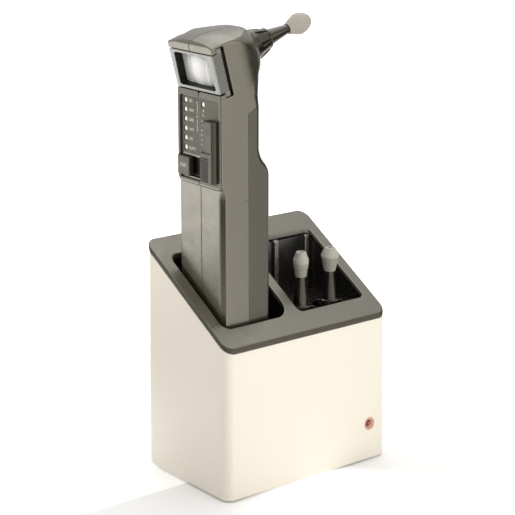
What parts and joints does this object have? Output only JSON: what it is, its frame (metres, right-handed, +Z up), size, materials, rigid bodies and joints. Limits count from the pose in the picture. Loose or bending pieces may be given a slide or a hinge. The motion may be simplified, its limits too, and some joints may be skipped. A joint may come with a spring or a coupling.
{
  "type": "audiometer",
  "caption": "Handheld screening audiometer with a sliding magnifier, control panel and ear tip on a tilted nose, standing in a wedge-shaped charging stand with spare tips.",
  "frame": {"origin": "centre of the stand's footprint, on the surface the rubber feet stand on", "axes": "+Z up, +X to the right along the stand's front face, +Y to the back; the instrument's control panel faces -X and its nose points to +X, 15 degrees up"},
  "size_m": [0.112, 0.0736, 0.2473],
  "materials": {
    "cream_abs": "satin moulded",
    "deck_plastic": "fine grain",
    "base_plastic": "fine grain",
    "foot_rubber": "matte",
    "screw_steel": "turned",
    "circuit_board": "solder mask",
    "component_black": "moulded",
    "led_ring": "satin",
    "red_led": "clear",
    "contact_brass": "polished",
    "housing_plastic": "fine grain",
    "dark_plastic": "satin",
    "speculum_plastic": "polished",
    "silicone": "satin",
    "bezel_grey": "fine grain",
    "lens_glass": "polished",
    "control_plastic": "fine grain",
    "panel_label": "printed film",
    "clear_led": "clear",
    "cell_sleeve": "sleeve",
    "lamp_glass": "clear",
    "receiver_can": "drawn",
    "tube_rubber": "matte"
  },
  "bodies": {
    "stand": {"stand_shell": "cream_abs", "deck_bezel": "deck_plastic", "handle_well": "deck_plastic", "tip_tray": "deck_plastic", "base_plate": "base_plastic", "rubber_feet": "foot_rubber", "base_screws": "screw_steel", "charge_board": "circuit_board", "charge_components": "component_black", "power_inlet": "component_black", "led_bezel": "led_ring", "charge_led": "red_led", "contact_block": "component_black"},
    "charge_pin_a": {"charge_pin_a": "contact_brass"},
    "charge_pin_b": {"charge_pin_b": "contact_brass"},
    "instrument": {"housing_right": "housing_plastic", "housing_left": "housing_plastic", "rear_cover": "housing_plastic", "housing_screws": "screw_steel", "nose_ring": "dark_plastic", "frequency_label": "panel_label", "level_label": "panel_label", "indicator_leds": "clear_led", "ready_led": "clear_led", "display_board": "circuit_board", "slide_switch": "component_black", "start_switch": "component_black", "main_board": "circuit_board", "board_components": "component_black", "battery_cells": "cell_sleeve", "contact_pads": "contact_brass", "lamp_socket": "contact_brass", "lamp": "lamp_glass", "receiver": "receiver_can", "sound_tube": "tube_rubber"},
    "lens_carriage": {"lens_frame": "bezel_grey", "lens": "lens_glass"},
    "level_slider": {"level_slider": "control_plastic"},
    "start_button": {"start_button": "control_plastic"},
    "mounted_tip": {"mounted_speculum": "speculum_plastic", "mounted_ear_tip": "silicone"},
    "small_tip": {"small_speculum": "speculum_plastic", "small_ear_tip": "silicone"},
    "medium_tip": {"medium_speculum": "speculum_plastic", "medium_ear_tip": "silicone"}
  },
  "joints": [
    {"name": "instrument_lift", "type": "slide", "parent": "stand", "child": "instrument", "axis": [0, 0, 1], "range_m": [0, 0.075]},
    {"name": "lens_slide", "type": "slide", "parent": "instrument", "child": "lens_carriage", "axis": [0, 1, 0], "range_m": [-0.014, 0.014]},
    {"name": "level_slide", "type": "slide", "parent": "instrument", "child": "level_slider", "axis": [0, 0, 1], "range_m": [0, 0.007]},
    {"name": "start_press", "type": "slide", "parent": "instrument", "child": "start_button", "axis": [1, 0, 0], "range_m": [0, 0.0012], "stiffness_N_per_m": 250, "springref_m": -0.0004},
    {"name": "mounted_tip_pull", "type": "slide", "parent": "instrument", "child": "mounted_tip", "axis": [0.9659, 0, 0.2588], "range_m": [0, 0.03]},
    {"name": "small_tip_lift", "type": "slide", "parent": "stand", "child": "small_tip", "axis": [0, 0, 1], "range_m": [0, 0.05]},
    {"name": "medium_tip_lift", "type": "slide", "parent": "stand", "child": "medium_tip", "axis": [0, 0, 1], "range_m": [0, 0.05]},
    {"name": "pin_a_press", "type": "slide", "parent": "stand", "child": "charge_pin_a", "axis": [0, 0, -1], "range_m": [0, 0.0008], "stiffness_N_per_m": 400, "springref_m": -0.001},
    {"name": "pin_b_press", "type": "slide", "parent": "stand", "child": "charge_pin_b", "axis": [0, 0, -1], "range_m": [0, 0.0008], "stiffness_N_per_m": 400, "springref_m": -0.001}
  ]
}
